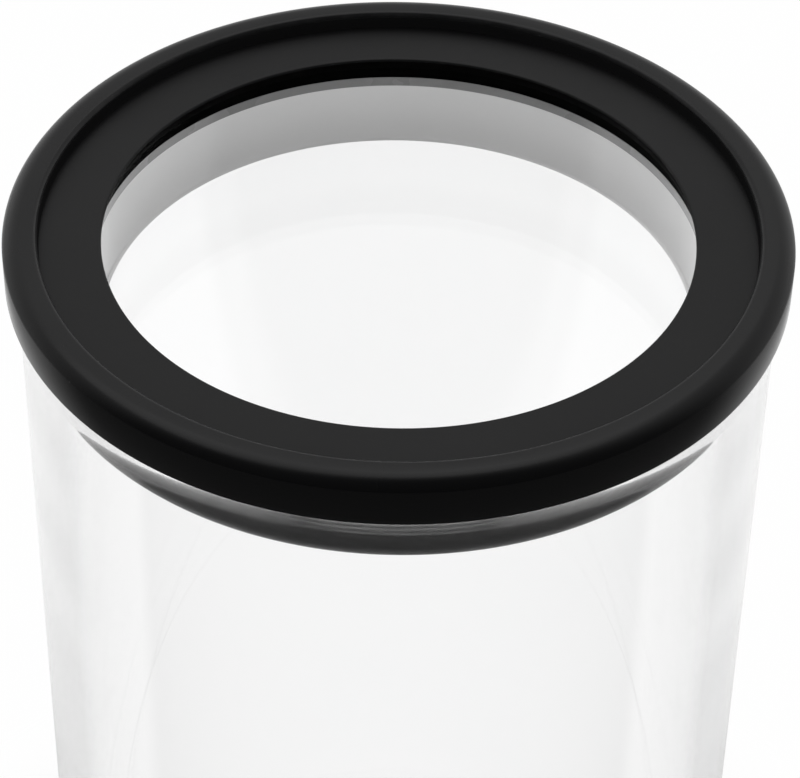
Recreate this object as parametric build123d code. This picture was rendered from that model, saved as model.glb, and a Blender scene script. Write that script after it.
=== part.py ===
"""Press-down vacuum canister: a clear round jar and a windowed lid ring.

Millimetres, +Z up. The origin is the centre of the foot, on the surface the jar stands on.
Every piece is a ring or a cup turned about Z, so each one is a profile of radius and height.
"""
import os
from math import acos, cos, radians, sin

from build123d import *

# Jar
jar_outer_radius = 54.3
jar_height = 183.0
jar_wall = 2.0
jar_floor = 3.6
jar_foot_width = 5.0
jar_foot_recess = 0.7
jar_outer_corner_radius = 4.0
jar_inner_corner_radius = 3.0
mouth_flare_depth = 8.7
mouth_flare_radius = 24.0
mouth_flare_degrees = 11.7
mouth_blend_radius = 2.5
rim_rounding = 0.35

# Lid frame: the flat black ring and the spigot under it
face_plate_thickness = 1.7
hole_ledge_width = 6.9
hole_undercut = 0.5
hole_edge_rounding = 0.4
spigot_wall = 1.5
spigot_depth = 9.0
spigot_lip_width = 0.6
spigot_lip_height = 0.8

# Grip ring: soft bead, skirt and rim seat
bead_height = 2.4
bead_width = 5.1
bead_inner_slope = 0.2
bead_inner_rounding = 0.9
bead_outer_rounding = 2.9
bead_shoulder_drop = 1.6
skirt_wall = 1.0
skirt_gap = 0.7
skirt_drop = 4.8
skirt_edge_rounding = 0.3
rim_seat_thickness = 0.9

# Lip seal: silicone sleeve with two ribs
seal_sleeve_wall = 0.8
seal_top_gap = 1.8
seal_rib_height = 4.3
seal_rib_reach = 0.6
seal_rib_gap = 0.4
seal_rib_count = 2
seal_tail_slope = 1.3

# Window: gasket, clear cup and the ring that holds them
window_gasket_height = 2.5
window_gasket_inset = 1.3
window_setback = 1.5
window_wall = 1.6
window_floor = 1.8
window_depth = 15.6
window_draft = 0.35
window_flange_thickness = 1.5
window_inner_corner_radius = 0.5
window_outer_corner_radius = 1.5
retaining_ring_width = 2.1
retaining_ring_height = 1.6

# Clearances
soft_clearance = 0.3
seat_clearance = 0.2

# Heights of the faces that the pieces share
rim_z = jar_height
face_underside_z = rim_z + rim_seat_thickness
face_top_z = face_underside_z + face_plate_thickness
bead_top_z = face_top_z + bead_height
skirt_bottom_z = face_top_z - skirt_drop
spigot_bottom_z = face_underside_z - spigot_depth
gasket_bottom_z = face_underside_z - window_gasket_height
flange_bottom_z = gasket_bottom_z - window_flange_thickness
window_floor_z = face_top_z - window_depth
window_bottom_z = window_floor_z - window_floor

# Radii that the pieces share
jar_bore_radius = jar_outer_radius - jar_wall
skirt_bore_radius = jar_outer_radius + skirt_gap
lid_outer_radius = skirt_bore_radius + skirt_wall
bead_inner_radius = lid_outer_radius - bead_width
frame_edge_radius = skirt_bore_radius - seat_clearance
rib_crest_radius = jar_bore_radius - soft_clearance
sleeve_outer_radius = rib_crest_radius - seal_rib_reach
sleeve_inner_radius = sleeve_outer_radius - seal_sleeve_wall
spigot_outer_radius = sleeve_inner_radius - seat_clearance
spigot_bore_radius = spigot_outer_radius - spigot_wall
window_hole_radius = spigot_bore_radius - hole_ledge_width
window_bore_radius = window_hole_radius + window_setback
pocket_radius = spigot_bore_radius - seat_clearance


def turned(profile):
    """Turn a closed flat profile, drawn in the XZ plane, about Z."""
    return revolve(profile, axis=Axis.Z)


def outline(points):
    """Closed face through points given as (radius, height)."""
    corners = [(radius, 0, height) for radius, height in points]
    return make_face(Polyline(*corners, close=True).edges())


def corner_at(face, radius, height):
    """The profile's corner that lies nearest to a radius and height."""
    return face.vertices().sort_by_distance(Vector(radius, 0, height))[0]


def rounded(face, radius, height, rounding):
    """Round one corner of a profile."""
    return fillet(corner_at(face, radius, height), rounding)


def as_face(shape):
    """The single face of a profile after its corners are rounded."""
    return shape.faces()[0]


def arc_edge(start, through, end):
    """Arc in the XZ plane through three (radius, height) points."""
    places = [(radius, 0, height) for radius, height in (start, through, end)]
    return ThreePointArc(*places)


def line_edges(points):
    """Straight edges in the XZ plane through (radius, height) points."""
    places = [(radius, 0, height) for radius, height in points]
    return Polyline(*places)


def bore_point(tilt):
    """Point on the jar's bore where its flare leans outward by an angle in degrees."""
    lean = radians(tilt)
    radius = jar_bore_radius + mouth_flare_radius * (1 - cos(lean))
    height = rim_z - mouth_flare_depth + mouth_flare_radius * sin(lean)
    return radius, height


def blend_point(tilt):
    """Point on the arc that brings the flare back upright, at a lean in degrees."""
    radius, height = bore_point(mouth_flare_degrees)
    full_lean = radians(mouth_flare_degrees)
    lean = radians(tilt)
    radius += mouth_blend_radius * (cos(lean) - cos(full_lean))
    height += mouth_blend_radius * (sin(full_lean) - sin(lean))
    return radius, height


def make_canister_body():
    """Clear jar: cup with a foot ring, and a bore that widens in an arc below the rim."""
    foot_bore_radius = jar_outer_radius - jar_outer_corner_radius - jar_foot_width
    flare_start = bore_point(0)
    flare_end = bore_point(mouth_flare_degrees)
    blend_end = blend_point(0)
    rim_bore_radius = blend_end[0]
    profile = make_face(
        line_edges([
            blend_end,
            (rim_bore_radius, rim_z),
            (jar_outer_radius, rim_z),
            (jar_outer_radius, 0),
            (foot_bore_radius, 0),
            (foot_bore_radius - jar_foot_recess, jar_foot_recess),
            (0, jar_foot_recess),
            (0, jar_floor),
            (jar_bore_radius, jar_floor),
            flare_start,
        ]).edges()
        + arc_edge(flare_start, bore_point(mouth_flare_degrees / 2), flare_end).edges()
        + arc_edge(flare_end, blend_point(mouth_flare_degrees / 2), blend_end).edges()
    )
    profile = as_face(rounded(profile, jar_outer_radius, 0, jar_outer_corner_radius))
    profile = as_face(rounded(profile, jar_bore_radius, jar_floor, jar_inner_corner_radius))
    profile = as_face(rounded(profile, jar_outer_radius, rim_z, rim_rounding))
    profile = as_face(rounded(profile, rim_bore_radius, rim_z, rim_rounding))
    return turned(profile)


def make_lid_frame():
    """Rigid ring: flat face plate, undercut hole and a spigot with a lip that holds the seal."""
    lip_top_z = spigot_bottom_z + spigot_lip_height
    lip_radius = spigot_outer_radius + spigot_lip_width
    profile = outline([
        (window_hole_radius, face_top_z),
        (frame_edge_radius, face_top_z),
        (frame_edge_radius, face_underside_z),
        (spigot_outer_radius, face_underside_z),
        (spigot_outer_radius, lip_top_z),
        (lip_radius, lip_top_z),
        (lip_radius, spigot_bottom_z),
        (spigot_bore_radius, spigot_bottom_z),
        (spigot_bore_radius, face_underside_z),
        (window_hole_radius + hole_undercut, face_underside_z),
    ])
    profile = as_face(rounded(profile, window_hole_radius, face_top_z, hole_edge_rounding))
    return turned(profile)


def shoulder_point(lean):
    """Point on the bead's outer arc, at an angle in radians from the bead's flat top."""
    full_lean = acos(1 - bead_shoulder_drop / bead_outer_rounding)
    radius = lid_outer_radius - bead_outer_rounding * (sin(full_lean) - sin(lean))
    height = bead_top_z - bead_outer_rounding * (1 - cos(lean))
    return radius, height


def make_grip_ring():
    """Soft ring round the frame's edge: bead above, skirt outside, rim seat below."""
    full_lean = acos(1 - bead_shoulder_drop / bead_outer_rounding)
    bead_crest_radius = bead_inner_radius + bead_inner_slope
    seat_inner_radius = spigot_outer_radius + soft_clearance
    shoulder_start = shoulder_point(0)
    shoulder_end = shoulder_point(full_lean)
    profile = make_face(
        line_edges([
            shoulder_end,
            (lid_outer_radius, skirt_bottom_z),
            (skirt_bore_radius, skirt_bottom_z),
            (skirt_bore_radius, rim_z),
            (seat_inner_radius, rim_z),
            (seat_inner_radius, face_underside_z),
            (skirt_bore_radius, face_underside_z),
            (skirt_bore_radius, face_top_z),
            (bead_inner_radius, face_top_z),
            (bead_crest_radius, bead_top_z),
            shoulder_start,
        ]).edges()
        + arc_edge(shoulder_start, shoulder_point(full_lean / 2), shoulder_end).edges()
    )
    profile = as_face(rounded(profile, bead_crest_radius, bead_top_z, bead_inner_rounding))
    profile = as_face(rounded(profile, lid_outer_radius, skirt_bottom_z, skirt_edge_rounding))
    return turned(profile)


def make_lip_seal():
    """Silicone sleeve on the spigot, with soft ribs that reach the jar's bore."""
    sleeve_top_z = rim_z - seal_top_gap
    rib_pitch = seal_rib_height + seal_rib_gap
    first_rib_top_z = sleeve_top_z - seal_rib_gap
    last_rib_top_z = first_rib_top_z - (seal_rib_count - 1) * rib_pitch
    sleeve_bottom_z = last_rib_top_z - seal_rib_height
    lip_radius = spigot_outer_radius + spigot_lip_width + seat_clearance
    lip_bottom_z = spigot_bottom_z - seat_clearance
    lip_top_z = spigot_bottom_z + spigot_lip_height + seat_clearance
    edges = []
    place = (sleeve_outer_radius, sleeve_top_z)
    for rib in range(seal_rib_count):
        rib_top_z = first_rib_top_z - rib * rib_pitch
        rib_bottom_z = rib_top_z - seal_rib_height
        rib_top = (sleeve_outer_radius, rib_top_z)
        rib_crest = (rib_crest_radius, (rib_top_z + rib_bottom_z) / 2)
        rib_bottom = (sleeve_outer_radius, rib_bottom_z)
        edges += line_edges([place, rib_top]).edges()
        edges += arc_edge(rib_top, rib_crest, rib_bottom).edges()
        place = rib_bottom
    edges += line_edges([
        place,
        (sleeve_inner_radius, sleeve_bottom_z + seal_tail_slope),
        (sleeve_inner_radius, lip_bottom_z),
        (lip_radius, lip_bottom_z),
        (lip_radius, lip_top_z),
        (sleeve_inner_radius, lip_top_z),
        (sleeve_inner_radius, sleeve_top_z),
        (sleeve_outer_radius, sleeve_top_z),
    ]).edges()
    return turned(make_face(edges))


def make_window_gasket():
    """Black ring that seals the window's flange against the face plate."""
    gasket_top_inner_radius = window_hole_radius + window_gasket_inset
    return turned(outline([
        (gasket_top_inner_radius, face_underside_z),
        (pocket_radius, face_underside_z),
        (pocket_radius, gasket_bottom_z),
        (window_bore_radius, gasket_bottom_z),
    ]))


def make_window_cup():
    """Clear shallow cup with a flange round its mouth."""
    floor_radius = window_bore_radius - window_draft
    profile = outline([
        (window_bore_radius, gasket_bottom_z),
        (pocket_radius, gasket_bottom_z),
        (pocket_radius, flange_bottom_z),
        (window_bore_radius + window_wall, flange_bottom_z),
        (floor_radius + window_wall, window_bottom_z),
        (0, window_bottom_z),
        (0, window_floor_z),
        (floor_radius, window_floor_z),
    ])
    outer_corner = (floor_radius + window_wall, window_bottom_z)
    profile = as_face(rounded(profile, *outer_corner, window_outer_corner_radius))
    profile = as_face(rounded(profile, floor_radius, window_floor_z, window_inner_corner_radius))
    return turned(profile)


def make_retaining_ring():
    """Ring under the window's flange, pushed into the spigot's bore."""
    ring_bottom_z = flange_bottom_z - retaining_ring_height
    return turned(outline([
        (pocket_radius - retaining_ring_width, flange_bottom_z),
        (pocket_radius, flange_bottom_z),
        (pocket_radius, ring_bottom_z),
        (pocket_radius - retaining_ring_width, ring_bottom_z),
    ]))


pieces = {
    "canister_body": make_canister_body(),
    "grip_ring": make_grip_ring(),
    "lid_frame": make_lid_frame(),
    "lip_seal": make_lip_seal(),
    "window_gasket": make_window_gasket(),
    "window_cup": make_window_cup(),
    "retaining_ring": make_retaining_ring(),
}

os.makedirs("parts", exist_ok=True)
for node, solid in pieces.items():
    export_step(solid, "parts/" + node + ".step")
    print(node, "volume", round(solid.volume), "mm3")
print("lid face is", round(face_top_z, 2), "mm up, overall height", round(bead_top_z, 2), "mm")
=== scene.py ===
# %% [markdown]
# # A press-down vacuum canister, dressed for its portrait
# The canister is a straight clear jar under a black lid ring with a clear window in it.
# All of its parts are round about one axis, so this lesson is about turning outlines into
# rings and cups, and about black and clear plastics that look real.
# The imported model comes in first, as a fixed frame that tells where every piece sits.

import math

import bmesh
import bpy
from mathutils import Matrix, Vector


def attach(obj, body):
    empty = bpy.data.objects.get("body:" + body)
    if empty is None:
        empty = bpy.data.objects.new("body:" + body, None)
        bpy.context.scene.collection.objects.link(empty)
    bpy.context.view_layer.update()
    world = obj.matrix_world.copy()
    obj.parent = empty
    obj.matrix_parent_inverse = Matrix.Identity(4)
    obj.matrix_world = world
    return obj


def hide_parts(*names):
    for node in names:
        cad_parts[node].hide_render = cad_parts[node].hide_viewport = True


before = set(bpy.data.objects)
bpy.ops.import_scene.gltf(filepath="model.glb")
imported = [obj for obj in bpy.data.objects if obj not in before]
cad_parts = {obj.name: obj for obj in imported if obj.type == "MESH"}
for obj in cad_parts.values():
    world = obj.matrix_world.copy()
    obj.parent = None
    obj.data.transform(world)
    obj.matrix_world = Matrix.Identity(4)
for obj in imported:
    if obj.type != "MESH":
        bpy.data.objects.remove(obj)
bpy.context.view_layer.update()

# %% [markdown]
# ## Sizes
# The sizes below are millimetres, as a moulder writes them, and they repeat those of the
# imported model. Radii are measured from the canister's axis and heights from its foot. The
# lists follow the pieces: the jar, the lid's rings, the window with what holds it, and the
# seal. A few small sizes stand with their piece further down.

# %% Sizes of the jar and the lid
MM = 0.001
SEGMENTS = 384

JAR_RADIUS = 54.3
JAR_BORE = 52.3
JAR_HEIGHT = 183.0
JAR_FLOOR = 3.6
FOOT_BORE = 45.3
FOOT_RECESS = 0.7
FOOT_ROUNDING = 4.0
FLOOR_ROUNDING = 3.0
RIM_ROUNDING = 0.35
RIM_AIR = 0.02
EDGE_ROUNDING = 0.15
FLARE_DEPTH = 8.7
FLARE_RADIUS = 24.0
FLARE_DEGREES = 11.7
BLEND_RADIUS = 2.5

FACE_TOP = 185.6
FACE_UNDERSIDE = 183.9
BEAD_TOP = 188.0
BEAD_INNER = 50.9
BEAD_CREST = 51.1
CREST_ROUNDING = 0.9
BEAD_ROUNDING = 2.9
SHOULDER = 186.4
LID_RADIUS = 56.0
SKIRT_BOTTOM = 180.8
SKIRT_WALL = 1.0
HOLE_RADIUS = 42.0
PLATE_EDGE = 54.8
SPIGOT_RADIUS = 50.4
SPIGOT_BORE = 48.9
SPIGOT_BOTTOM = 174.9
SOFT_AIR = 0.3

WINDOW_BORE = 43.5
WINDOW_FLOOR_RADIUS = 43.15
WINDOW_WALL = 1.6
WINDOW_DRAFT = 0.035
POCKET_RADIUS = 48.7
GASKET_INSET = 1.3
GASKET_BOTTOM = 181.4
FLANGE_BOTTOM = 179.9
WINDOW_FLOOR = 170.0
WINDOW_BOTTOM = 168.2
RING_BOTTOM = 178.3
RING_BORE = 46.6

SLEEVE_RADIUS = 51.4
SLEEVE_BORE = 50.6
SLEEVE_TOP = 181.2
RIB_CREST = 52.0
RIB_HEIGHT = 4.3
RIB_GAP = 0.4
RIB_COUNT = 2
TAIL_SLOPE = 1.3
print("lid", 2 * LID_RADIUS, "mm wide, canister", BEAD_TOP, "mm high")

# %% [markdown]
# ## The camera
# The portrait looks down on the lid at about 41 degrees from a bit over 40 cm away, with a
# long lens. The view was found by fitting one camera to the lid's circles, so it is set here
# from distances to the lid's face and not by eye. The small roll is that of the portrait. A
# short helper puts the camera, and later every other object, into the scene.

# %% Camera


def new_object(name, data):
    """Object that holds the data, linked into the scene."""
    thing = bpy.data.objects.new(name, data)
    bpy.context.scene.collection.objects.link(thing)
    return thing


VIEW_DOWN = math.radians(40.769)
VIEW_ROLL = math.radians(1.019)
VIEW_DISTANCE = 7.9469 * LID_RADIUS * MM
VIEW_ASIDE = -0.0096 * LID_RADIUS * MM
VIEW_LIFT = 0.4019 * LID_RADIUS * MM
LENS = 141.2
SENSOR_WIDTH = 36
NEAREST = 0.01

view_back = Vector((0, -math.cos(VIEW_DOWN), math.sin(VIEW_DOWN)))
view_up = Vector((0, math.sin(VIEW_DOWN), math.cos(VIEW_DOWN)))
view_right = Vector((1, 0, 0))
lid_centre = Vector((0, 0, FACE_TOP * MM))
camera_place = lid_centre + view_back * VIEW_DISTANCE - view_right * VIEW_ASIDE - view_up * VIEW_LIFT

camera = new_object("portrait_camera", bpy.data.cameras.new("portrait_camera"))
bpy.context.scene.camera = camera
camera.data.lens = LENS
camera.data.sensor_width = SENSOR_WIDTH
camera.data.clip_start = NEAREST
turn = Matrix((view_right, view_up, view_back)).transposed() @ Matrix.Rotation(VIEW_ROLL, 3, "Z")
camera.matrix_world = Matrix.Translation(camera_place) @ turn.to_4x4()
print("camera at", [round(v, 3) for v in camera_place])

# %% [markdown]
# ## Node helpers
# A material is a graph, and building one by hand takes many lines. A few small helpers make
# a node and wire it in one call, which leaves the recipes below short enough to read. Noise
# seldom leaves the middle of its range, so ramps on noise start and end there.

# %% Helpers that make and wire nodes
MIDDLE_OF_NOISE = (0.3, 0.7)


def add_node(tree, kind, inputs=None, **settings):
    """Make a node, set its properties, then set or wire its inputs by name or number."""
    node = tree.nodes.new(kind)
    for name, value in settings.items():
        setattr(node, name, value)
    for name, value in (inputs or {}).items():
        socket = node.inputs[name]
        if isinstance(value, bpy.types.NodeSocket):
            tree.links.new(value, socket)
        else:
            socket.default_value = value
    return node


def sum_up(tree, operation, *values, clamp=False):
    """One Math node; returns its output."""
    inputs = dict(enumerate(values))
    return add_node(tree, "ShaderNodeMath", inputs, operation=operation, use_clamp=clamp).outputs[0]


def ramp(tree, value, low, high, from_low=0.0, from_high=1.0):
    """Carry a value from one range to another, gently at both ends; returns the output."""
    inputs = {"Value": value, "From Min": from_low, "From Max": from_high,
              "To Min": low, "To Max": high}
    node = add_node(tree, "ShaderNodeMapRange", inputs, interpolation_type="SMOOTHSTEP")
    return node.outputs["Result"]


def length_of(tree, first, second):
    """Length of a way that has these two shares at right angles; returns the output."""
    squares = [sum_up(tree, "POWER", value, 2.0) for value in (first, second)]
    return sum_up(tree, "SQRT", sum_up(tree, "ADD", *squares))


def blend_colours(tree, share, first, second):
    """Mix two colours by a share; returns the output."""
    node = add_node(tree, "ShaderNodeMix", {0: share, 6: first, 7: second}, data_type="RGBA")
    return node.outputs[2]


def new_group(name, kind, sockets):
    """Empty node group with its named inputs and outputs; returns tree, input and output node."""
    tree = bpy.data.node_groups.new(name, kind)
    for side, socket_type, label, value in sockets:
        item = tree.interface.new_socket(name=label, in_out=side, socket_type=socket_type)
        if value is not None:
            item.default_value = value
    return tree, tree.nodes.new("NodeGroupInput"), tree.nodes.new("NodeGroupOutput")


def place_group(tree, group, inputs=None):
    """Put a shader node group into a material."""
    return add_node(tree, "ShaderNodeGroup", inputs, node_tree=group)


print("node helpers ready")

# %% [markdown]
# ## Where on the piece
# Moulded rings look different at their edges and from their top to their foot. The first
# group turns a point of the piece into its distance from the axis and its height, both in
# millimetres, so that later recipes can speak of places as the sizes above do.

# %% Group: place on a turned piece
place_tree, _, place_out = new_group("turned_place", "ShaderNodeTree", [
    ("OUTPUT", "NodeSocketFloat", "Radius", None),
    ("OUTPUT", "NodeSocketFloat", "Height", None),
    ("OUTPUT", "NodeSocketVector", "Spot", None),
])
spot = add_node(place_tree, "ShaderNodeTexCoord").outputs["Object"]
scaled = add_node(place_tree, "ShaderNodeVectorMath", {0: spot, "Scale": 1 / MM}, operation="SCALE")
in_mm = scaled.outputs[0]
parts_of_spot = add_node(place_tree, "ShaderNodeSeparateXYZ", {0: in_mm})
out_from_axis = length_of(place_tree, parts_of_spot.outputs["X"], parts_of_spot.outputs["Y"])
place_tree.links.new(out_from_axis, place_out.inputs["Radius"])
place_tree.links.new(parts_of_spot.outputs["Z"], place_out.inputs["Height"])
place_tree.links.new(in_mm, place_out.inputs["Spot"])
print("group", place_tree.name, "gives", [item.name for item in place_tree.interface.items_tree])

# %% [markdown]
# ## Moulded grain
# Matt plastic is matt because its mould was etched: the surface is a field of tiny pits and
# hills. Two sizes of noise give the height of that field, and a third, much larger one, gives
# the slow drift of gloss that every moulded part has where its skin cooled sooner or later.

# %% Group: moulded grain
FINE_PER_COARSE = 3.1
PIT_SHARE = 0.45
grain_tree, grain_in, grain_out = new_group("moulded_grain", "ShaderNodeTree", [
    ("INPUT", "NodeSocketVector", "Spot", None),
    ("INPUT", "NodeSocketFloat", "Grains per mm", 3.0),
    ("INPUT", "NodeSocketFloat", "Drift per mm", 0.03),
    ("OUTPUT", "NodeSocketFloat", "Height", None),
    ("OUTPUT", "NodeSocketFloat", "Drift", None),
])
per_mm = grain_in.outputs["Grains per mm"]
coarse = add_node(grain_tree, "ShaderNodeTexNoise", {
    "Vector": grain_in.outputs["Spot"], "Scale": per_mm, "Detail": 3.0, "Roughness": 0.6})
fine_scale = sum_up(grain_tree, "MULTIPLY", per_mm, FINE_PER_COARSE)
fine = add_node(grain_tree, "ShaderNodeTexVoronoi", {
    "Vector": grain_in.outputs["Spot"], "Scale": fine_scale})
pits = sum_up(grain_tree, "MULTIPLY", fine.outputs["Distance"], PIT_SHARE)
grain_height = sum_up(grain_tree, "ADD", coarse.outputs[0], pits)
drift = add_node(grain_tree, "ShaderNodeTexNoise", {
    "Vector": grain_in.outputs["Spot"], "Scale": grain_in.outputs["Drift per mm"], "Detail": 4.0})
grain_tree.links.new(grain_height, grain_out.inputs["Height"])
grain_tree.links.new(drift.outputs[0], grain_out.inputs["Drift"])
print("group", grain_tree.name, "ready")

# %% [markdown]
# ## Rubbed edges and dust
# A lid is picked up by its rim, so the rim's corners are a little smoother and paler than the
# rest, and a black top catches specks of dust. On the bead's crest that paler edge is also a
# painted highlight. The group takes the radius and height of a corner and answers with a
# mask that is strongest there, and with one of sparse specks.

# %% Group: rubbed edge and dust
RUBS_PER_MM = 0.35
LEAST_RUBBED = 0.35
SPECKS_PER_MM = 0.42
PATCHES_PER_MM = 0.11
DUSTY_PATCH = (0.5, 0.75)
LARGEST_SPECK = 0.055
wear_tree, wear_in, wear_out = new_group("edge_and_dust", "ShaderNodeTree", [
    ("INPUT", "NodeSocketVector", "Spot", None),
    ("INPUT", "NodeSocketFloat", "Radius", 0.0),
    ("INPUT", "NodeSocketFloat", "Height", 0.0),
    ("INPUT", "NodeSocketFloat", "Edge radius", 50.0),
    ("INPUT", "NodeSocketFloat", "Edge height", 185.0),
    ("INPUT", "NodeSocketFloat", "Edge reach", 0.8),
    ("OUTPUT", "NodeSocketFloat", "Edge", None),
    ("OUTPUT", "NodeSocketFloat", "Dust", None),
])
off_radius = sum_up(wear_tree, "SUBTRACT", wear_in.outputs["Radius"], wear_in.outputs["Edge radius"])
off_height = sum_up(wear_tree, "SUBTRACT", wear_in.outputs["Height"], wear_in.outputs["Edge height"])
off_corner = length_of(wear_tree, off_radius, off_height)
away = sum_up(wear_tree, "DIVIDE", off_corner, wear_in.outputs["Edge reach"])
broken = add_node(wear_tree, "ShaderNodeTexNoise", {
    "Vector": wear_in.outputs["Spot"], "Scale": RUBS_PER_MM, "Detail": 5.0, "Roughness": 0.65})
near_edge = ramp(wear_tree, away, 1.0, 0.0)
how_rubbed = ramp(wear_tree, broken.outputs[0], LEAST_RUBBED, 1.0, *MIDDLE_OF_NOISE)
edge_mask = sum_up(wear_tree, "MULTIPLY", near_edge, how_rubbed)
specks = add_node(wear_tree, "ShaderNodeTexVoronoi", {
    "Vector": wear_in.outputs["Spot"], "Scale": SPECKS_PER_MM})
patches = add_node(wear_tree, "ShaderNodeTexNoise", {
    "Vector": wear_in.outputs["Spot"], "Scale": PATCHES_PER_MM})
speck_reach = ramp(wear_tree, patches.outputs[0], 0.0, LARGEST_SPECK, *DUSTY_PATCH)
dust_mask = sum_up(wear_tree, "LESS_THAN", specks.outputs["Distance"], speck_reach)
wear_tree.links.new(edge_mask, wear_out.inputs["Edge"])
wear_tree.links.new(dust_mask, wear_out.inputs["Dust"])
print("group", wear_tree.name, "ready")

# %% [markdown]
# ## What every finish shares
# All finishes know their place on the piece and carry some grain, and each ends with a
# colour, a roughness and a bump on one Principled shader. Two helpers do that start and that
# end, so a recipe says only what sets its plastic apart.

# %% Start and end of a finish


def new_finish(name, grains, drift):
    """Start a material; returns it, its tree and shader, and its groups for place and grain."""
    material = bpy.data.materials.new(name)
    material.use_nodes = True
    tree = material.node_tree
    place = place_group(tree, place_tree)
    grain = place_group(tree, grain_tree, {
        "Spot": place.outputs["Spot"], "Grains per mm": grains, "Drift per mm": drift})
    return material, tree, tree.nodes["Principled BSDF"], place, grain


def wire_finish(tree, shader, colour, roughness, grain, strength, depth):
    """Wire the shader's colour and roughness and bump it by the grain, so many mm deep."""
    bump = add_node(tree, "ShaderNodeBump", {
        "Height": grain.outputs["Height"], "Strength": strength, "Distance": depth * MM})
    tree.links.new(colour, shader.inputs["Base Color"])
    tree.links.new(roughness, shader.inputs["Roughness"])
    tree.links.new(bump.outputs[0], shader.inputs["Normal"])


print("start and end of a finish ready")

# %% [markdown]
# ## Black plastics
# The lid has several blacks: the soft bead, which is a little satin, the smooth skirt below
# it, the finely etched face plate and the silicone, and two dull ones that mirror almost
# nothing and are painted shade: one lines the window's hole and the gasket, the other the
# crease at the bead's foot. They share one recipe with different numbers: a nearly black
# colour, grain in the bump, and a roughness that drifts and drops where rubbed. Each black
# has its colour and a paler one where it is rubbed, then its roughness, how strongly it
# mirrors, its grains per mm and their depth, its dust, and the rubbed corner. On the bead
# that paler colour along the crest is partly wear and partly a painted highlight.

# %% Recipe for black plastic
DUST_COLOUR = (0.16, 0.16, 0.155, 1)
PATCHES_OF_GLOSS_PER_MM = 0.03
GLOSS_DRIFT = 0.05
RUBBED_GLOSS = -0.1
GRAIN_STRENGTH = 0.35


def black_plastic(name, colour, rubbed_and_highlit, roughness, mirror, grains, depth, dust, corner):
    """Moulded black: corner is (radius, height, reach) of the edge that hands rub; the paler colour
    there is wear, and on the bead's crest also a painted highlight.
    """
    material, tree, shader, place, grain = new_finish(name, grains, PATCHES_OF_GLOSS_PER_MM)
    wear = place_group(tree, wear_tree, {
        "Spot": place.outputs["Spot"], "Radius": place.outputs["Radius"],
        "Height": place.outputs["Height"],
        "Edge radius": corner[0], "Edge height": corner[1], "Edge reach": corner[2]})
    worn_and_highlit = blend_colours(tree, wear.outputs["Edge"], (*colour, 1), (*rubbed_and_highlit, 1))
    dusty_share = sum_up(tree, "MULTIPLY", wear.outputs["Dust"], dust)
    dusty = blend_colours(tree, dusty_share, worn_and_highlit, DUST_COLOUR)
    drifting = ramp(tree, grain.outputs["Drift"], roughness - GLOSS_DRIFT,
                    roughness + GLOSS_DRIFT, *MIDDLE_OF_NOISE)
    rubbing = sum_up(tree, "MULTIPLY", wear.outputs["Edge"], RUBBED_GLOSS)
    rough = sum_up(tree, "ADD", drifting, rubbing, clamp=True)
    wire_finish(tree, shader, dusty, rough, grain, GRAIN_STRENGTH, depth)
    shader.inputs["Specular IOR Level"].default_value = mirror
    return material


print("recipe for black plastic ready")

# %% Six blacks
# On the bead the paler rubbed colour along the crest's inner edge is partly wear and partly a painted
# highlight.
soft_black = black_plastic(
    "soft_black_ring", (0.004, 0.004, 0.0042), (0.016, 0.016, 0.0163),
    roughness=0.26, mirror=0.125, grains=2.2, depth=0.012, dust=0.25,
    corner=(BEAD_CREST - 0.1, BEAD_TOP - 0.1, 0.8))
skirt_black = black_plastic(
    "smooth_black_skirt", (0.003, 0.003, 0.0031), (0.005, 0.005, 0.0052),
    roughness=0.14, mirror=0.16, grains=1.2, depth=0.004, dust=0.1,
    corner=(LID_RADIUS, SKIRT_BOTTOM, 0.8))
face_black = black_plastic(
    "etched_black_face", (0.004, 0.004, 0.0042), (0.010, 0.010, 0.0103),
    roughness=0.38, mirror=0.105, grains=3.4, depth=0.03, dust=0.35,
    corner=(HOLE_RADIUS, FACE_TOP, 0.6))
silicone_black = black_plastic(
    "black_silicone", (0.003, 0.003, 0.003), (0.006, 0.006, 0.006),
    roughness=0.34, mirror=0.12, grains=1.4, depth=0.01, dust=0.0,
    corner=(RIB_CREST, SLEEVE_TOP - 2.0, 1.5))
# Painted shade for the window's hole: the hole's wall and the gasket get a deeper, duller black than
# the other blacks.
hole_painted_shade = black_plastic(
    "hole_wall_painted_shade", (0.0012, 0.0012, 0.0012), (0.002, 0.002, 0.002),
    roughness=0.6, mirror=0.02, grains=3.4, depth=0.035, dust=0.0,
    corner=(HOLE_RADIUS, FACE_TOP, 0.6))
# Painted shade for the crease at the bead's foot: a dull black that mirrors almost nothing.
crease_painted_shade = black_plastic(
    "crease_painted_shade", (0.007, 0.007, 0.0072), (0.009, 0.009, 0.0092),
    roughness=0.6, mirror=0.03, grains=2.2, depth=0.012, dust=0.0,
    corner=(BEAD_INNER, FACE_TOP, 0.4))
blacks = (soft_black, skirt_black, face_black, silicone_black, hole_painted_shade, crease_painted_shade)
print("blacks:", ", ".join(black.name for black in blacks))

# %% [markdown]
# ## Clear plastics
# Clear plastic is one Principled shader with full transmission. What makes it look moulded
# is not colour but its skin, which is never quite flat and carries a very fine haze, a little
# stronger where it was wiped. Its wall also guides light, as a fibre does: light that enters
# at the foot runs up inside the wall and leaves at the mouth as a bright streak under the
# skirt. That takes many bounces, so the scene allows more of them than usual. The haze also
# blurs that light, as real plastic does, where perfectly smooth walls would show sharp bands.

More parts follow.
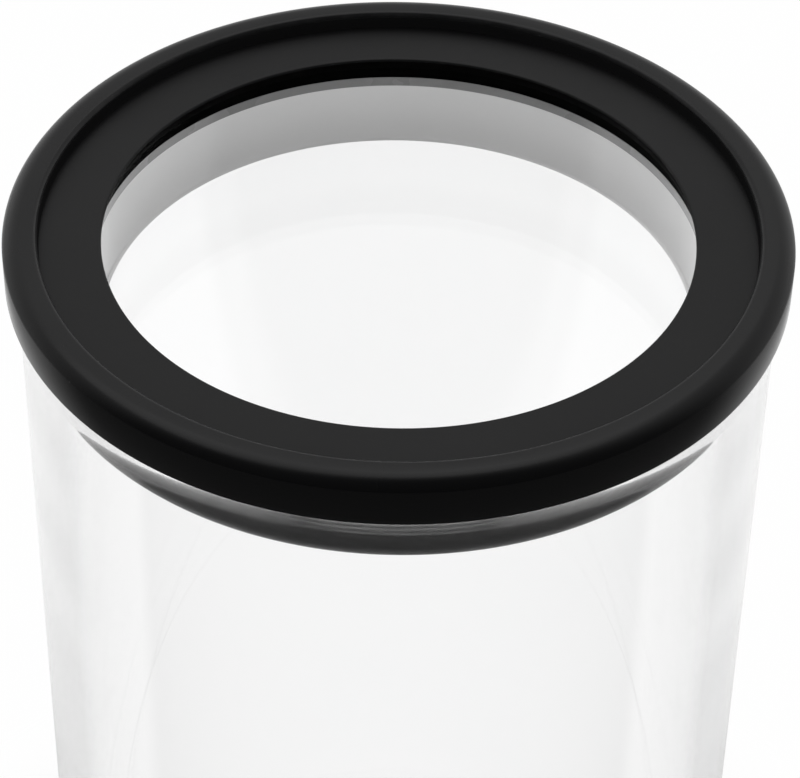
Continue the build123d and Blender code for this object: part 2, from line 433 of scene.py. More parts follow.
# %% Clear plastics
GUIDED_BOUNCES = 96
bpy.context.scene.cycles.max_bounces = GUIDED_BOUNCES
bpy.context.scene.cycles.glossy_bounces = GUIDED_BOUNCES
bpy.context.scene.cycles.transmission_bounces = GUIDED_BOUNCES
WAVES_PER_MM = 0.03
WAVE_DEPTH = 0.0003
WAVE_STRENGTH = 0.06
FINE_HAZE = 0.028
WIPED_HAZE = 0.05
WIPES_PER_MM = 0.02
SMEARED = (0.45, 0.8)
WIPED = (0.5, 0.85)


def clear_plastic(name, colour, tinge, bending):
    """Polished clear plastic: colour where it is clean, tinge where a smear dulls it."""
    material, tree, shader, _, grain = new_finish(name, WAVES_PER_MM, WIPES_PER_MM)
    smear = ramp(tree, grain.outputs["Drift"], 0.0, 1.0, *SMEARED)
    tinted = blend_colours(tree, smear, (*colour, 1), (*tinge, 1))
    dulled = ramp(tree, grain.outputs["Drift"], FINE_HAZE, WIPED_HAZE, *WIPED)
    wire_finish(tree, shader, tinted, dulled, grain, WAVE_STRENGTH, WAVE_DEPTH)
    shader.inputs["Transmission Weight"].default_value = 1.0
    shader.inputs["IOR"].default_value = bending
    return material


clear_jar = clear_plastic("clear_jar_wall", (1.0, 1.0, 1.0), (0.992, 0.993, 0.994), bending=1.5)
clear_window = clear_plastic(
    "clear_window_floor", (0.988, 0.989, 0.989), (0.98, 0.981, 0.982), bending=1.25)
print("clear plastics:", clear_jar.name, clear_window.name)

# %% [markdown]
# ## The window's satin wall
# Only the window's floor is polished. Its wall was blasted in the mould, so it shows as a
# soft grey band. Its colour is painted paler at the top and a little darker toward the floor,
# which is painted light and shade. The narrow edge of its flange is smoother and is painted
# dark grey where it lies right under the black gasket, as painted shade. Both are slightly
# glossy, and their grain breaks the light.

# %% Satin wall and flange edge
BLAST_PER_MM = 4.0
BLAST_DEPTH = 0.015
BLAST_STRENGTH = 0.25
CLOUDS_PER_MM = 0.05
CLOUDS = 0.06
GLAZE_ROUGHNESS = 0.12


def satin_wall(name, upper, lower, roughness):
    """Blasted clear plastic: its colour runs from the upper end of the wall to the lower, as painted
    light and shade.
    """
    material, tree, shader, place, grain = new_finish(name, BLAST_PER_MM, CLOUDS_PER_MM)
    # Painted light and shade: paler at the top of the wall, darker toward the floor.
    painted_shade_toward_floor = ramp(tree, place.outputs["Height"], 1.0, 0.0, WINDOW_FLOOR, FLANGE_BOTTOM)
    cloudy = ramp(tree, grain.outputs["Drift"], -CLOUDS, CLOUDS, *MIDDLE_OF_NOISE)
    share = sum_up(tree, "ADD", painted_shade_toward_floor, cloudy, clamp=True)
    tone_and_painted_shade = blend_colours(tree, share, (*upper, 1), (*lower, 1))
    rough = ramp(
        tree, grain.outputs["Drift"], roughness - CLOUDS, roughness + CLOUDS, *MIDDLE_OF_NOISE)
    wire_finish(tree, shader, tone_and_painted_shade, rough, grain, BLAST_STRENGTH, BLAST_DEPTH)
    shader.inputs["Coat Weight"].default_value = 1.0
    shader.inputs["Coat Roughness"].default_value = GLAZE_ROUGHNESS
    return material


# The wall is painted paler at the top and darker toward the floor, as painted light and shade.
window_satin = satin_wall("satin_window_wall", (0.93, 0.93, 0.93), (0.76, 0.76, 0.76), 0.42)
# Painted shade: the flange's narrow edge is painted dark grey where it lies right under the black
# gasket.
flange_painted_shade = satin_wall("window_flange_painted_shade", (0.26, 0.26, 0.26), (0.26, 0.26, 0.26), 0.3)
print("satin:", window_satin.name, flange_painted_shade.name)

# %% [markdown]
# ## Turning an outline
# Every piece is an outline of radius and height that goes once round the axis. Blender's
# Screw or Spin could do that, but a small Geometry Nodes tree does it by rule: it lays out a
# grid with one row for each point of the outline and one column for each step round, looks
# up the outline's point for its row, turns it by the angle of its column, and merges the
# seam. The same tree then serves for the jar, the rings and the window.

# %% Tree: turn an outline about the axis
SEAM_GAP = 0.000002
turn_tree, turn_in, turn_out = new_group("turn_outline", "GeometryNodeTree", [
    ("INPUT", "NodeSocketGeometry", "Outline", None),
    ("INPUT", "NodeSocketInt", "Segments", SEGMENTS),
    ("INPUT", "NodeSocketBool", "Closed outline", True),
    ("OUTPUT", "NodeSocketGeometry", "Geometry", None),
])
outline_size = add_node(
    turn_tree, "GeometryNodeAttributeDomainSize", {0: turn_in.outputs["Outline"]}, component="MESH")
point_count = outline_size.outputs["Point Count"]
row_count = sum_up(turn_tree, "ADD", point_count, turn_in.outputs["Closed outline"])
column_count = sum_up(turn_tree, "ADD", turn_in.outputs["Segments"], 1.0)
lattice = add_node(turn_tree, "GeometryNodeMeshGrid", {
    "Size X": 1.0, "Size Y": 1.0, "Vertices X": row_count, "Vertices Y": column_count})
index = add_node(turn_tree, "GeometryNodeInputIndex").outputs[0]
middle_of_cell = sum_up(turn_tree, "ADD", index, 0.5)
row = sum_up(turn_tree, "FLOOR", sum_up(turn_tree, "DIVIDE", middle_of_cell, column_count))
row_in_outline = sum_up(turn_tree, "FLOORED_MODULO", row, point_count)
column = sum_up(turn_tree, "SUBTRACT", index, sum_up(turn_tree, "MULTIPLY", row, column_count))
position = add_node(turn_tree, "GeometryNodeInputPosition").outputs[0]
point = add_node(turn_tree, "GeometryNodeSampleIndex", {
    "Geometry": turn_in.outputs["Outline"], "Value": position, "Index": row_in_outline},
    data_type="FLOAT_VECTOR", domain="POINT")
share_of_turn = sum_up(turn_tree, "DIVIDE", column, turn_in.outputs["Segments"])
angle = sum_up(turn_tree, "MULTIPLY", share_of_turn, math.tau)
turned = add_node(turn_tree, "ShaderNodeVectorRotate", {
    "Vector": point.outputs["Value"], "Axis": (0, 0, 1), "Angle": angle}, rotation_type="AXIS_ANGLE")
placed = add_node(turn_tree, "GeometryNodeSetPosition", {
    "Geometry": lattice.outputs["Mesh"], "Position": turned.outputs[0]})
closed = add_node(turn_tree, "GeometryNodeMergeByDistance", {
    "Geometry": placed.outputs[0], "Distance": SEAM_GAP})
smooth = add_node(turn_tree, "GeometryNodeSetShadeSmooth", {"Geometry": closed.outputs[0]})
turn_tree.links.new(smooth.outputs[0], turn_out.inputs["Geometry"])
print("tree", turn_tree.name, "has", len(turn_tree.nodes), "nodes")

# %% [markdown]
# ## From outline to piece
# An outline is written as corners, and a corner may carry a rounding, as on a drawing. The
# first helper below swaps each such corner for a short arc, and the second makes the outline
# an object. The third feeds it to a tree through a modifier, sets the modifier's inputs by
# their identifiers, and takes the evaluated result as a plain mesh, so nothing live is left.

# %% Helpers for outlines and turned pieces
ARC_STEPS = 8
SHARP_ANGLE = math.radians(32)


def with_roundings(corners):
    """Points of an outline from (radius, height) or (radius, height, rounding) corners."""
    points = []
    for number, corner in enumerate(corners):
        at = Vector(corner[:2])
        if len(corner) < 3:
            points.append(at)
            continue
        before = (Vector(corners[number - 1][:2]) - at).normalized()
        after = (Vector(corners[(number + 1) % len(corners)][:2]) - at).normalized()
        half_angle = before.angle(after) / 2
        middle = at + (before + after).normalized() * corner[2] / math.sin(half_angle)
        start = at + before * corner[2] / math.tan(half_angle) - middle
        end = at + after * corner[2] / math.tan(half_angle) - middle
        sweep = start.angle_signed(end)
        for step in range(ARC_STEPS + 1):
            lean = -sweep * step / ARC_STEPS
            points.append(middle + Matrix.Rotation(lean, 2) @ start)
    return points


def outline_object(name, points, closed):
    """Outline as a mesh of vertices in the XZ plane, in metres."""
    mesh = bpy.data.meshes.new(name)
    spots = [(point[0] * MM, 0, point[1] * MM) for point in points]
    edges = [(number, number + 1) for number in range(len(spots) - 1)]
    if closed:
        edges.append((len(spots) - 1, 0))
    mesh.from_pydata(spots, edges, [])
    return new_object(name, mesh)


def grown(piece, tree, values):
    """Run a Geometry Nodes tree on a piece and keep only the plain mesh that it makes."""
    modifier = piece.modifiers.new(tree.name, "NODES")
    modifier.node_group = tree
    for item in tree.interface.items_tree:
        if item.in_out == "INPUT" and item.name in values:
            modifier[item.identifier] = values[item.name]
    graph = bpy.context.evaluated_depsgraph_get()
    graph.update()
    mesh = bpy.data.meshes.new_from_object(piece.evaluated_get(graph), depsgraph=graph)
    piece.modifiers.clear()
    piece.data = mesh
    mesh.name = piece.name
    shape = bmesh.new()
    shape.from_mesh(mesh)
    volume = shape.calc_volume(signed=True)
    open_edges = sum(not edge.is_manifold for edge in shape.edges)
    shape.free()
    if volume < 0:
        mesh.flip_normals()
    mesh.set_sharp_from_angle(angle=SHARP_ANGLE)
    cubic_mm = abs(volume) / MM ** 3
    print(f"{piece.name}: {len(mesh.polygons)} faces, {cubic_mm:.0f} mm3, open edges {open_edges}")
    return piece


print("outline helpers ready")

# %% [markdown]
# ## One tree for a whole piece
# A piece needs more than its form: it also needs its material. This tree wraps the turning
# tree, paints everything with the main finish and then, where asked, repaints a zone above a
# given height and outside a given radius with a second one, and all above another height
# with a third. Zones are how the window gets a clear floor and a satin wall from one outline.

# %% Tree: turned piece with up to two painted zones
piece_tree, piece_in, piece_out = new_group("turned_piece", "GeometryNodeTree", [
    ("INPUT", "NodeSocketGeometry", "Outline", None),
    ("INPUT", "NodeSocketInt", "Segments", SEGMENTS),
    ("INPUT", "NodeSocketBool", "Closed outline", True),
    ("INPUT", "NodeSocketMaterial", "Finish", None),
    ("INPUT", "NodeSocketMaterial", "Zone finish", None),
    ("INPUT", "NodeSocketFloat", "Zone above", 1.0),
    ("INPUT", "NodeSocketFloat", "Zone outside", 1.0),
    ("INPUT", "NodeSocketMaterial", "Top finish", None),
    ("INPUT", "NodeSocketFloat", "Top above", 1.0),
    ("OUTPUT", "NodeSocketGeometry", "Geometry", None),
])
turning = add_node(piece_tree, "GeometryNodeGroup", node_tree=turn_tree)
for label in ("Outline", "Segments", "Closed outline"):
    piece_tree.links.new(piece_in.outputs[label], turning.inputs[label])
here = add_node(piece_tree, "ShaderNodeSeparateXYZ", {
    0: add_node(piece_tree, "GeometryNodeInputPosition").outputs[0]})
from_axis = length_of(piece_tree, here.outputs["X"], here.outputs["Y"])
outside = sum_up(piece_tree, "GREATER_THAN", from_axis, piece_in.outputs["Zone outside"])
above = sum_up(piece_tree, "GREATER_THAN", here.outputs["Z"], piece_in.outputs["Zone above"])
in_zone = sum_up(piece_tree, "MULTIPLY", outside, above)
on_top = sum_up(piece_tree, "GREATER_THAN", here.outputs["Z"], piece_in.outputs["Top above"])
realized = add_node(piece_tree, "GeometryNodeRealizeInstances", {0: turning.outputs[0]})
painted = add_node(piece_tree, "GeometryNodeSetMaterial", {
    "Geometry": realized.outputs[0], "Material": piece_in.outputs["Finish"]})
zoned = add_node(piece_tree, "GeometryNodeSetMaterial", {
    "Geometry": painted.outputs[0], "Selection": in_zone, "Material": piece_in.outputs["Zone finish"]})
topped = add_node(piece_tree, "GeometryNodeSetMaterial", {
    "Geometry": zoned.outputs[0], "Selection": on_top, "Material": piece_in.outputs["Top finish"]})
piece_tree.links.new(topped.outputs[0], piece_out.inputs["Geometry"])


def turned_piece(name, corners, finish, closed=True, **zones):
    """Turn an outline about the axis, in one finish or with zones named as the tree's inputs."""
    points = with_roundings(corners)
    piece = outline_object(name, points, closed)
    values = {"Segments": SEGMENTS, "Closed outline": closed, "Finish": finish}
    values.update({"Zone finish": finish, "Top finish": finish})
    values.update({label.replace("_", " "): value for label, value in zones.items()})
    return grown(piece, piece_tree, values)


print("tree", piece_tree.name, "ready")

# %% [markdown]
# ## The jar
# The jar is one moulded cup. Its outside is dead straight, its foot is a ring round a
# slightly raised base, and its bore opens out in a shallow arc near the mouth so that the
# seal finds its way in. That arc matters for the looks as well: the slope it gives the inner
# face is what throws the guided light out as a streak. The outline runs up the outside and
# down the inside, and it begins and ends on the axis, so it is an open one.

# %% Jar
BLEND_STEPS = 6
FLARE_STEPS = 20


def flare_points():
    """The bore from the rim down: the small arc that blends, then the long arc that flares."""
    full = math.radians(FLARE_DEGREES)
    arc_foot = JAR_HEIGHT - FLARE_DEPTH
    end_radius = JAR_BORE + FLARE_RADIUS * (1 - math.cos(full))
    end_height = arc_foot + FLARE_RADIUS * math.sin(full)
    points = []
    for step in range(BLEND_STEPS + 1):
        lean = full * step / BLEND_STEPS
        radius = end_radius + BLEND_RADIUS * (math.cos(lean) - math.cos(full))
        points.append((radius, end_height + BLEND_RADIUS * (math.sin(full) - math.sin(lean))))
    for step in range(1, FLARE_STEPS + 1):
        lean = full * (1 - step / FLARE_STEPS)
        radius = JAR_BORE + FLARE_RADIUS * (1 - math.cos(lean))
        points.append((radius, arc_foot + FLARE_RADIUS * math.sin(lean)))
    return points


mouth = flare_points()
rim = JAR_HEIGHT - RIM_AIR
jar_outline = [
    (0, FOOT_RECESS), (FOOT_BORE - FOOT_RECESS, FOOT_RECESS), (FOOT_BORE, 0, 2 * EDGE_ROUNDING),
    (JAR_RADIUS, 0, FOOT_ROUNDING), (JAR_RADIUS, rim, RIM_ROUNDING),
    (mouth[0][0], rim, RIM_ROUNDING), *mouth,
    (JAR_BORE, JAR_FLOOR, FLOOR_ROUNDING), (0, JAR_FLOOR)]
jar = turned_piece("clear_jar", jar_outline, clear_jar, closed=False)

# %% [markdown]
# ## The rigid ring of the lid
# One moulding carries everything in the lid: the flat face plate with the window's hole, and
# the short wall below it, the spigot, which holds the seal in a groove. Only the face and
# the hole's edge show while the lid is on, and the spigot comes out with the lid.

# %% Lid frame
LIP_RADIUS = 51.0
LIP_HEIGHT = 0.8
HOLE_UNDERCUT = 0.5
HOLE_ROUNDING = 0.4
BREAK_ROUNDING = 0.1
FACE_SKIN = 0.3
frame_outline = [
    (HOLE_RADIUS, FACE_TOP, HOLE_ROUNDING), (PLATE_EDGE, FACE_TOP), (PLATE_EDGE, FACE_UNDERSIDE),
    (SPIGOT_RADIUS, FACE_UNDERSIDE), (SPIGOT_RADIUS, SPIGOT_BOTTOM + LIP_HEIGHT),
    (LIP_RADIUS, SPIGOT_BOTTOM + LIP_HEIGHT), (LIP_RADIUS, SPIGOT_BOTTOM, EDGE_ROUNDING),
    (SPIGOT_BORE, SPIGOT_BOTTOM, EDGE_ROUNDING), (SPIGOT_BORE, FACE_UNDERSIDE),
    (HOLE_RADIUS + HOLE_UNDERCUT, FACE_UNDERSIDE, BREAK_ROUNDING)]
# The hole's wall is painted with that deeper black, as painted shade inside the hole.
lid_ring = turned_piece(
    "lid_face_ring", frame_outline, hole_painted_shade, Zone_finish=face_black, Zone_above=0.0,
    Zone_outside=(HOLE_RADIUS + HOLE_UNDERCUT + BREAK_ROUNDING) * MM,
    Top_finish=face_black, Top_above=(FACE_TOP - FACE_SKIN) * MM)

# %% [markdown]
# ## The soft ring
# The outer ring is moulded over the plate's edge. It has a raised bead that rounds over to a
# crisp shoulder, a skirt that falls straight from it, and a flange inside that lies on the
# jar's rim. The bead is matt to the hand and the skirt is smooth, so the shoulder is also
# where one finish gives way to the other. The bead's steep foot is painted shade: a dull
# black that mirrors almost nothing, which makes the crease read dark.

# %% Soft ring
SHOULDER_STEPS = 12
SHOULDER_MARGIN = 0.05
CREASE_SHADE_WIDTH = 0.12


def shoulder_points():
    """The bead's outer rounding, from its flat top down to the shoulder."""
    full = math.acos(1 - (BEAD_TOP - SHOULDER) / BEAD_ROUNDING)
    start = LID_RADIUS - BEAD_ROUNDING * math.sin(full)
    leans = [full * step / SHOULDER_STEPS for step in range(SHOULDER_STEPS + 1)]
    return [(start + BEAD_ROUNDING * math.sin(lean), BEAD_TOP - BEAD_ROUNDING * (1 - math.cos(lean)))
            for lean in leans]


skirt_bore = LID_RADIUS - SKIRT_WALL
seat_bore = SPIGOT_RADIUS + SOFT_AIR
grip_outline = [
    (BEAD_INNER, FACE_TOP), (BEAD_CREST, BEAD_TOP, CREST_ROUNDING), *shoulder_points(),
    (LID_RADIUS, SKIRT_BOTTOM, 2 * EDGE_ROUNDING), (skirt_bore, SKIRT_BOTTOM, EDGE_ROUNDING),
    (skirt_bore, JAR_HEIGHT), (seat_bore, JAR_HEIGHT), (seat_bore, FACE_UNDERSIDE),
    (skirt_bore, FACE_UNDERSIDE), (skirt_bore, FACE_TOP)]
# Everything inside the bead's foot is the crease's painted shade; the skirt and the bead get their own
# blacks.
soft_ring = turned_piece(
    "soft_grip_ring", grip_outline, crease_painted_shade, Zone_finish=skirt_black, Zone_above=0.0,
    Zone_outside=(BEAD_INNER + CREASE_SHADE_WIDTH) * MM,
    Top_finish=soft_black, Top_above=(SHOULDER + SHOULDER_MARGIN) * MM)

# %% [markdown]
# ## The seal and its ribs
# The seal is a silicone sleeve with ribs round it, all alike and evenly spaced. What repeats
# is a job for Geometry Nodes: the tree draws one rib as an arc, turns it, and copies it down
# the sleeve as often as the count says. The sleeve itself comes in as the tree's geometry.

# %% Tree: sleeve with ribs
RIB_POINTS = 15
rib_tree, rib_in, rib_out = new_group("ribbed_sleeve", "GeometryNodeTree", [
    ("INPUT", "NodeSocketGeometry", "Outline", None),
    ("INPUT", "NodeSocketInt", "Segments", SEGMENTS),
    ("INPUT", "NodeSocketInt", "Rib count", 2),
    ("INPUT", "NodeSocketFloat", "Rib height", 0.004),
    ("INPUT", "NodeSocketFloat", "Rib pitch", 0.0045),
    ("INPUT", "NodeSocketFloat", "Root radius", 0.05),
    ("INPUT", "NodeSocketFloat", "Crest radius", 0.052),
    ("INPUT", "NodeSocketFloat", "First rib top", 0.18),
    ("INPUT", "NodeSocketMaterial", "Finish", None),
    ("OUTPUT", "NodeSocketGeometry", "Geometry", None),
])
rib_foot = sum_up(rib_tree, "SUBTRACT", rib_in.outputs["First rib top"], rib_in.outputs["Rib height"])
both_ends = sum_up(rib_tree, "ADD", rib_in.outputs["First rib top"], rib_foot)
rib_middle = sum_up(rib_tree, "DIVIDE", both_ends, 2.0)


def rib_point(radius, height):
    """Point of the rib's arc in the XZ plane."""
    return add_node(rib_tree, "ShaderNodeCombineXYZ", {"X": radius, "Z": height}).outputs[0]


rib_arc = add_node(rib_tree, "GeometryNodeCurveArc", {
    "Resolution": RIB_POINTS,
    "Start": rib_point(rib_in.outputs["Root radius"], rib_in.outputs["First rib top"]),
    "Middle": rib_point(rib_in.outputs["Crest radius"], rib_middle),
    "End": rib_point(rib_in.outputs["Root radius"], rib_foot)}, mode="POINTS")
rib_line = add_node(rib_tree, "GeometryNodeCurveToMesh", {0: rib_arc.outputs[0]})
one_rib = add_node(rib_tree, "GeometryNodeGroup", {
    "Outline": rib_line.outputs[0], "Segments": rib_in.outputs["Segments"],
    "Closed outline": True}, node_tree=turn_tree)
pitch_down = sum_up(rib_tree, "MULTIPLY", rib_in.outputs["Rib pitch"], -1.0)
stops = add_node(rib_tree, "GeometryNodeMeshLine", {
    "Count": rib_in.outputs["Rib count"], "Start Location": (0, 0, 0),
    "Offset": add_node(rib_tree, "ShaderNodeCombineXYZ", {"Z": pitch_down}).outputs[0]})
copies = add_node(rib_tree, "GeometryNodeInstanceOnPoints", {
    "Points": stops.outputs[0], "Instance": one_rib.outputs[0]})
sleeve = add_node(rib_tree, "GeometryNodeGroup", {
    "Outline": rib_in.outputs["Outline"], "Segments": rib_in.outputs["Segments"],
    "Closed outline": True}, node_tree=turn_tree)
together = add_node(rib_tree, "GeometryNodeJoinGeometry")
rib_tree.links.new(copies.outputs[0], together.inputs[0])
rib_tree.links.new(sleeve.outputs[0], together.inputs[0])
made_real = add_node(rib_tree, "GeometryNodeRealizeInstances", {0: together.outputs[0]})
finished = add_node(rib_tree, "GeometryNodeSetMaterial", {
    "Geometry": made_real.outputs[0], "Material": rib_in.outputs["Finish"]})
rib_tree.links.new(finished.outputs[0], rib_out.inputs["Geometry"])
print("tree", rib_tree.name, "has", len(rib_tree.nodes), "nodes")

# %% Seal
SEAT_AIR = 0.2
SLEEVE_ROUNDING = 0.2
RIB_SUNK = 0.1
groove_radius = LIP_RADIUS + SEAT_AIR
groove_bottom = SPIGOT_BOTTOM - SEAT_AIR
groove_top = SPIGOT_BOTTOM + LIP_HEIGHT + SEAT_AIR
last_rib_foot = SLEEVE_TOP - RIB_COUNT * (RIB_GAP + RIB_HEIGHT)
sleeve_outline = [
    (SLEEVE_RADIUS, SLEEVE_TOP, SLEEVE_ROUNDING), (SLEEVE_RADIUS, last_rib_foot, EDGE_ROUNDING),
    (SLEEVE_BORE, last_rib_foot + TAIL_SLOPE), (SLEEVE_BORE, groove_bottom),
    (groove_radius, groove_bottom), (groove_radius, groove_top), (SLEEVE_BORE, groove_top),
    (SLEEVE_BORE, SLEEVE_TOP)]
seal = outline_object("ribbed_lip_seal", with_roundings(sleeve_outline), closed=True)
seal = grown(seal, rib_tree, {
    "Segments": SEGMENTS, "Rib count": RIB_COUNT, "Rib height": RIB_HEIGHT * MM,
    "Rib pitch": (RIB_HEIGHT + RIB_GAP) * MM, "Root radius": (SLEEVE_RADIUS - RIB_SUNK) * MM,
    "Crest radius": RIB_CREST * MM, "First rib top": (SLEEVE_TOP - RIB_GAP) * MM,
    "Finish": silicone_black})

# %% [markdown]
# ## Window, gasket and ring
# The window is a shallow clear cup that hangs in the lid by its flange. A black gasket lies
# on the flange, under the face plate, and a plain ring below pushes the flange up against
# it. The cup is turned from one outline, then its wall and the edge of its flange are
# repainted by zone, as its floor alone is polished.

# %% Window cup, gasket and retaining ring
CUP_OUTER_ROUNDING = 1.5
CUP_INNER_ROUNDING = 0.5
CUP_CORNER = 0.7
ZONE_MARGIN = 0.02
window_outline = [
    (0, WINDOW_BOTTOM), (WINDOW_FLOOR_RADIUS + WINDOW_WALL, WINDOW_BOTTOM, CUP_OUTER_ROUNDING),
    (WINDOW_BORE + WINDOW_WALL, FLANGE_BOTTOM), (POCKET_RADIUS, FLANGE_BOTTOM),
    (POCKET_RADIUS, GASKET_BOTTOM), (WINDOW_BORE, GASKET_BOTTOM),
    (WINDOW_BORE - WINDOW_DRAFT, FLANGE_BOTTOM),
    (WINDOW_FLOOR_RADIUS, WINDOW_FLOOR, CUP_INNER_ROUNDING), (0, WINDOW_FLOOR)]
# The wall zone carries the satin wall's painted light and shade, and the top zone the flange edge's
# painted shade.
window = turned_piece(
    "window_cup", window_outline, clear_window, closed=False,
    Zone_finish=window_satin, Zone_above=(WINDOW_FLOOR + ZONE_MARGIN) * MM,
    Zone_outside=(WINDOW_FLOOR_RADIUS - CUP_CORNER) * MM,
    Top_finish=flange_painted_shade, Top_above=(FLANGE_BOTTOM + ZONE_MARGIN) * MM)

gasket_outline = [
    (HOLE_RADIUS + GASKET_INSET, FACE_UNDERSIDE), (POCKET_RADIUS, FACE_UNDERSIDE),
    (POCKET_RADIUS, GASKET_BOTTOM), (WINDOW_BORE, GASKET_BOTTOM, BREAK_ROUNDING)]
# The gasket wears the same painted shade as the hole's wall.
gasket = turned_piece("window_gasket_ring", gasket_outline, hole_painted_shade)

holding_outline = [
    (RING_BORE, FLANGE_BOTTOM), (POCKET_RADIUS, FLANGE_BOTTOM),
    (POCKET_RADIUS, RING_BOTTOM, EDGE_ROUNDING), (RING_BORE, RING_BOTTOM, EDGE_ROUNDING)]
holding_ring = turned_piece("window_holding_ring", holding_outline, face_black)

# %% [markdown]
# ## Tell the frame what is what
# Each piece stands for one node of the imported model, whose own mesh is hidden, and rides
# on that node's body. The lid's six pieces ride on the lid, so they lift off together.

# %% Ride and replace
for piece, node, body, slot in (
        (jar, "canister_body", "canister", "clear_jar"),
        (lid_ring, "lid_frame", "lid", "matt_black"),
        (soft_ring, "grip_ring", "lid", "soft_black"),
        (seal, "lip_seal", "lid", "seal_silicone"),
        (gasket, "window_gasket", "lid", "seal_silicone"),
        (window, "window_cup", "lid", "clear_window"),
        (holding_ring, "retaining_ring", "lid", "matt_black")):
    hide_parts(node)
    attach(piece, body)
    print(piece.name, "stands for", node, "on", body)

# %% [markdown]
# ## Room and light
# The portrait was taken on white under wide soft light from above and behind. The room and
# the floor show plain white to the eye and through clear plastic, which is the background's
# own colour and not more light on the object. What shiny surfaces mirror is another matter:
# the room is bright behind the canister, half as bright above it and dim in front, which
# keeps the skirt nearly black while the flat face turns dark grey, and matt surfaces get an
# even fill from all sides.

# %% What each ray may see


def seen_white(tree):
    """Shares of rays from the eye, of those through clear plastic, and of those mirrored before."""
    path = add_node(tree, "ShaderNodeLightPath")
    mirrored = sum_up(tree, "GREATER_THAN", path.outputs["Glossy Depth"], 0.5)
    return path.outputs["Is Camera Ray"], path.outputs["Is Transmission Ray"], mirrored


WHITE = (0.995, 0.995, 0.995, 1)
print("background white is", WHITE[0])

# %% Room
ROOM_DIM = 0.02
ROOM_BRIGHT = 1.1
BRIGHT_FROM = -0.3
BRIGHT_TO = 0.36
FRONT_FILL = 0.7
room = bpy.data.worlds.new("white_studio")
bpy.context.scene.world = room
room.use_nodes = True
room_tree = room.node_tree
looking = add_node(room_tree, "ShaderNodeSeparateXYZ", {
    0: add_node(room_tree, "ShaderNodeTexCoord").outputs["Generated"]})
behind = ramp(room_tree, looking.outputs["Y"], ROOM_DIM, ROOM_BRIGHT, BRIGHT_FROM, BRIGHT_TO)
matt_ray = add_node(room_tree, "ShaderNodeLightPath").outputs["Is Diffuse Ray"]
fill = sum_up(room_tree, "MULTIPLY", matt_ray, FRONT_FILL)
room_level = sum_up(room_tree, "MAXIMUM", behind, fill)
room_light = add_node(room_tree, "ShaderNodeBackground", {
    "Color": (1, 1, 1, 1), "Strength": room_level})
room_white = add_node(room_tree, "ShaderNodeBackground", {"Color": WHITE, "Strength": 1.0})
room_mix = add_node(room_tree, "ShaderNodeMixShader", {
    0: sum_up(room_tree, "MAXIMUM", *seen_white(room_tree)[:2]),
    1: room_light.outputs[0], 2: room_white.outputs[0]})
room_tree.links.new(room_mix.outputs[0], room_tree.nodes["World Output"].inputs[0])
print("room", room.name, "runs from", ROOM_DIM, "in front to", ROOM_BRIGHT, "behind")

# %% [markdown]
# ## The floor
# The floor is pale, with three zones measured in millimetres. Round the foot it shows most
# of its own shading, so the canister stands in a soft contact shadow, and further out it
# turns plain white to the eye. Toward the front it darkens for all rays but those from the
# eye, as the dim side of a real studio does. Rays that were mirrored inside the clear wall
# and then land in front find that dim floor too, and not the plain white: that is what lets
# the seal look black through the wall.

# %% Floor
FLOOR_REACH = 4.0
FLOOR_AIR = 0.1
FLOOR_PALE = (0.88, 0.88, 0.88, 1)
FLOOR_DIM = (0.2, 0.2, 0.2, 1)
WHITE_AT_FOOT = 0.35
SHADOW_FROM = 56.0
SHADOW_TO = 105.0
DIM_FROM = 140.0
DIM_TO = -50.0
LOST_FROM = -24.0
LOST_TO = -44.0
floor_mesh = bpy.data.meshes.new("studio_floor")
floor_mesh.from_pydata(
    [(x * FLOOR_REACH, y * FLOOR_REACH, 0) for x, y in ((-1, -1), (1, -1), (1, 1), (-1, 1))],
    [], [(0, 1, 2, 3)])
floor = new_object("studio_floor", floor_mesh)
floor_paint = bpy.data.materials.new("white_floor")
floor_paint.use_nodes = True
floor_tree = floor_paint.node_tree
floor_shader = floor_tree.nodes["Principled BSDF"]
floor_shader.inputs["Roughness"].default_value = 0.9
floor_place = place_group(floor_tree, place_tree)
from_foot = ramp(
    floor_tree, floor_place.outputs["Radius"], WHITE_AT_FOOT, 1.0, SHADOW_FROM, SHADOW_TO)
floor_spot = add_node(floor_tree, "ShaderNodeSeparateXYZ", {0: floor_place.outputs["Spot"]})
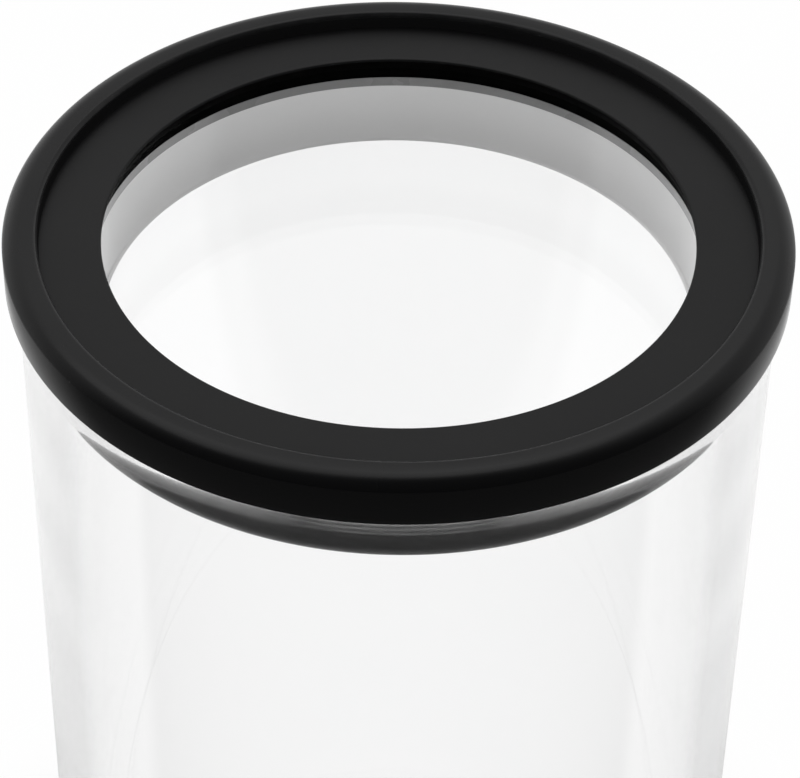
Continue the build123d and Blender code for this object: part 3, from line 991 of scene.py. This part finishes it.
in_front = ramp(floor_tree, floor_spot.outputs["Y"], 0.0, 1.0, LOST_FROM, LOST_TO)
fading = ramp(floor_tree, floor_spot.outputs["Y"], 0.0, 1.0, DIM_FROM, DIM_TO)
eye, through, mirrored = seen_white(floor_tree)
unseen_front = sum_up(floor_tree, "MULTIPLY", fading, sum_up(floor_tree, "SUBTRACT", 1.0, eye))
floor_colour = blend_colours(floor_tree, unseen_front, FLOOR_PALE, FLOOR_DIM)
floor_tree.links.new(floor_colour, floor_shader.inputs["Base Color"])
to_eye = sum_up(floor_tree, "MULTIPLY", eye, from_foot)
lost = sum_up(floor_tree, "MULTIPLY", mirrored, in_front)
to_see = sum_up(floor_tree, "MULTIPLY", through, sum_up(floor_tree, "SUBTRACT", 1.0, lost))
to_white = sum_up(floor_tree, "MAXIMUM", to_eye, to_see)
floor_white = add_node(floor_tree, "ShaderNodeEmission", {"Color": WHITE, "Strength": 1.0})
floor_mix = add_node(floor_tree, "ShaderNodeMixShader", {
    0: to_white, 1: floor_shader.outputs[0], 2: floor_white.outputs[0]})
floor_tree.links.new(floor_mix.outputs[0], floor_tree.nodes["Material Output"].inputs[0])
floor_mesh.materials.append(floor_paint)
floor.location.z = -FLOOR_AIR * MM
print("floor", FLOOR_REACH * 2, "m wide")

# %% Softbox overhead
SOFTBOX_WIDTH = 1.1
SOFTBOX_DEPTH = 0.8
SOFTBOX_POWER = 4.0
SOFTBOX_PLACE = (-0.15, 0.35, 1.15)
softbox = bpy.data.lights.new("overhead_softbox", "AREA")
softbox.shape = "RECTANGLE"
softbox.size = SOFTBOX_WIDTH
softbox.size_y = SOFTBOX_DEPTH
softbox.energy = SOFTBOX_POWER
softbox_lamp = new_object("overhead_softbox", softbox)
softbox_lamp.location = SOFTBOX_PLACE
toward_lamp = softbox_lamp.location - lid_centre
softbox_lamp.rotation_euler = toward_lamp.to_track_quat("Z", "Y").to_euler()
bpy.context.scene.view_settings.view_transform = "Standard"
print("softbox", softbox.energy, "W at", [round(v, 2) for v in softbox_lamp.location])
